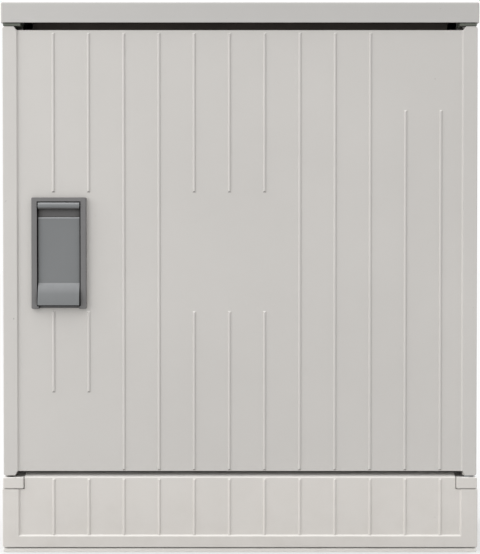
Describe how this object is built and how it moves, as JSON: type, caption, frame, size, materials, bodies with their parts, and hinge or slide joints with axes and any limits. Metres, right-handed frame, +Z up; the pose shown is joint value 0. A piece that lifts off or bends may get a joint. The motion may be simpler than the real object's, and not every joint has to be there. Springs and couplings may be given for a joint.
{
  "type": "outdoor cable distribution board",
  "caption": "Floor-standing outdoor distribution board: ribbed polyester cabinet with a hinged door, lift-up handle flap, rod lock, busbars and fuse strips with tilting lids.",
  "frame": {"origin": "middle of the base frame's bolt pattern, on its underside", "axes": "+Z up, +X to the right seen from the front, +Y from the door to the rear wall"},
  "size_m": [0.785, 0.3295, 0.905],
  "materials": {
    "cabinet_polyester": "fine moulded texture, light grey",
    "base_polyester": "matte, pale grey",
    "handle_plastic": "fine grain, mid grey",
    "black_plastic": "matte black",
    "seal_rubber": "matte foam rubber",
    "zinc_steel": "zinc plated",
    "bright_steel": "ground steel",
    "copper": "bare copper, lightly dulled",
    "strip_plastic": "dark grey moulding",
    "lid_plastic": "satin grey moulding",
    "insulator": "glossy red-brown moulding",
    "ceramic": "glazed white ceramic with plated ends",
    "guide_plastic": "natural white plastic",
    "pocket_plastic": "smooth grey sheet"
  },
  "bodies": {
    "cabinet": {"left_side_wall": "cabinet_polyester", "right_side_wall": "cabinet_polyester", "rear_wall": "cabinet_polyester", "roof": "cabinet_polyester", "top_crossbar": "cabinet_polyester", "sill": "cabinet_polyester", "lower_panel": "cabinet_polyester", "lower_left_block": "cabinet_polyester", "lower_right_block": "cabinet_polyester", "base_frame": "base_polyester", "vent_strip": "black_plastic", "door_seal": "seal_rubber", "screws": "zinc_steel", "panel_screws": "zinc_steel", "left_rail": "zinc_steel", "right_rail": "zinc_steel", "cable_rail": "zinc_steel", "hinge_washer": "zinc_steel", "neutral_bolts": "zinc_steel", "upper_hinge_pin": "bright_steel", "lower_hinge_pin": "bright_steel", "busbar_l1": "copper", "busbar_l2": "copper", "busbar_l3": "copper", "neutral_bar": "copper", "fuse_contacts": "copper", "fuse_strip_1": "strip_plastic", "fuse_strip_2": "strip_plastic", "fuse_strip_3": "strip_plastic", "fuse_strip_4": "strip_plastic", "blank_cover": "strip_plastic", "upper_left_bracket": "strip_plastic", "upper_right_bracket": "strip_plastic", "busbar_supports": "insulator", "neutral_supports": "insulator", "fuse_links": "ceramic"},
    "door_leaf": {"door": "cabinet_polyester", "handle_frame": "handle_plastic", "flap_pin": "bright_steel", "lock_barrel": "bright_steel", "lock_nut": "zinc_steel", "rod_guides": "guide_plastic", "document_pocket": "pocket_plastic"},
    "flap": {"handle_flap": "handle_plastic"},
    "lock_core": {"lock_plug": "bright_steel", "cam_plate": "zinc_steel"},
    "rod_up": {"upper_rod": "zinc_steel"},
    "rod_down": {"lower_rod": "zinc_steel"},
    "lid_1_l1": {"fuse_lid_1_l1": "lid_plastic"},
    "lid_1_l2": {"fuse_lid_1_l2": "lid_plastic"},
    "lid_1_l3": {"fuse_lid_1_l3": "lid_plastic"},
    "lid_2_l1": {"fuse_lid_2_l1": "lid_plastic"},
    "lid_2_l2": {"fuse_lid_2_l2": "lid_plastic"},
    "lid_2_l3": {"fuse_lid_2_l3": "lid_plastic"},
    "lid_3_l1": {"fuse_lid_3_l1": "lid_plastic"},
    "lid_3_l2": {"fuse_lid_3_l2": "lid_plastic"},
    "lid_3_l3": {"fuse_lid_3_l3": "lid_plastic"},
    "lid_4_l1": {"fuse_lid_4_l1": "lid_plastic"},
    "lid_4_l2": {"fuse_lid_4_l2": "lid_plastic"},
    "lid_4_l3": {"fuse_lid_4_l3": "lid_plastic"}
  },
  "joints": [
    {"name": "door_swing", "type": "hinge", "parent": "cabinet", "child": "door_leaf", "pos_m": [0.378, -0.1445, 0.496], "axis": [0, 0, 1], "range_deg": [0, 110]},
    {"name": "flap_lift", "type": "hinge", "parent": "door_leaf", "child": "flap", "pos_m": [-0.298, -0.159, 0.5715], "axis": [-1, 0, 0], "range_deg": [0, 75]},
    {"name": "key_turn", "type": "hinge", "parent": "door_leaf", "child": "lock_core", "pos_m": [-0.298, -0.13, 0.4935], "axis": [0, -1, 0], "range_deg": [0, 90]},
    {"name": "upper_rod_slide", "type": "slide", "parent": "door_leaf", "child": "rod_up", "axis": [0, 0, 1], "range_m": [0, 0.0198]},
    {"name": "lower_rod_slide", "type": "slide", "parent": "door_leaf", "child": "rod_down", "axis": [0, 0, -1], "range_m": [0, 0.0198]},
    {"name": "tilt_1_l1", "type": "hinge", "parent": "cabinet", "child": "lid_1_l1", "pos_m": [-0.206, 0.0125, 0.623], "axis": [1, 0, 0], "range_deg": [0, 70]},
    {"name": "tilt_1_l2", "type": "hinge", "parent": "cabinet", "child": "lid_1_l2", "pos_m": [-0.206, 0.0125, 0.438], "axis": [1, 0, 0], "range_deg": [0, 70]},
    {"name": "tilt_1_l3", "type": "hinge", "parent": "cabinet", "child": "lid_1_l3", "pos_m": [-0.206, 0.0125, 0.253], "axis": [1, 0, 0], "range_deg": [0, 70]},
    {"name": "tilt_2_l1", "type": "hinge", "parent": "cabinet", "child": "lid_2_l1", "pos_m": [-0.102, 0.0125, 0.623], "axis": [1, 0, 0], "range_deg": [0, 70]},
    {"name": "tilt_2_l2", "type": "hinge", "parent": "cabinet", "child": "lid_2_l2", "pos_m": [-0.102, 0.0125, 0.438], "axis": [1, 0, 0], "range_deg": [0, 70]},
    {"name": "tilt_2_l3", "type": "hinge", "parent": "cabinet", "child": "lid_2_l3", "pos_m": [-0.102, 0.0125, 0.253], "axis": [1, 0, 0], "range_deg": [0, 70]},
    {"name": "tilt_3_l1", "type": "hinge", "parent": "cabinet", "child": "lid_3_l1", "pos_m": [0.002, 0.0125, 0.623], "axis": [1, 0, 0], "range_deg": [0, 70]},
    {"name": "tilt_3_l2", "type": "hinge", "parent": "cabinet", "child": "lid_3_l2", "pos_m": [0.002, 0.0125, 0.438], "axis": [1, 0, 0], "range_deg": [0, 70]},
    {"name": "tilt_3_l3", "type": "hinge", "parent": "cabinet", "child": "lid_3_l3", "pos_m": [0.002, 0.0125, 0.253], "axis": [1, 0, 0], "range_deg": [0, 70]},
    {"name": "tilt_4_l1", "type": "hinge", "parent": "cabinet", "child": "lid_4_l1", "pos_m": [0.106, 0.0125, 0.623], "axis": [1, 0, 0], "range_deg": [0, 70]},
    {"name": "tilt_4_l2", "type": "hinge", "parent": "cabinet", "child": "lid_4_l2", "pos_m": [0.106, 0.0125, 0.438], "axis": [1, 0, 0], "range_deg": [0, 70]},
    {"name": "tilt_4_l3", "type": "hinge", "parent": "cabinet", "child": "lid_4_l3", "pos_m": [0.106, 0.0125, 0.253], "axis": [1, 0, 0], "range_deg": [0, 70]}
  ],
  "couplings": [
    {"joint": "key_turn", "follows": "upper_rod_slide", "rad_per_m": 79.337},
    {"joint": "lower_rod_slide", "follows": "upper_rod_slide", "ratio": 1}
  ]
}
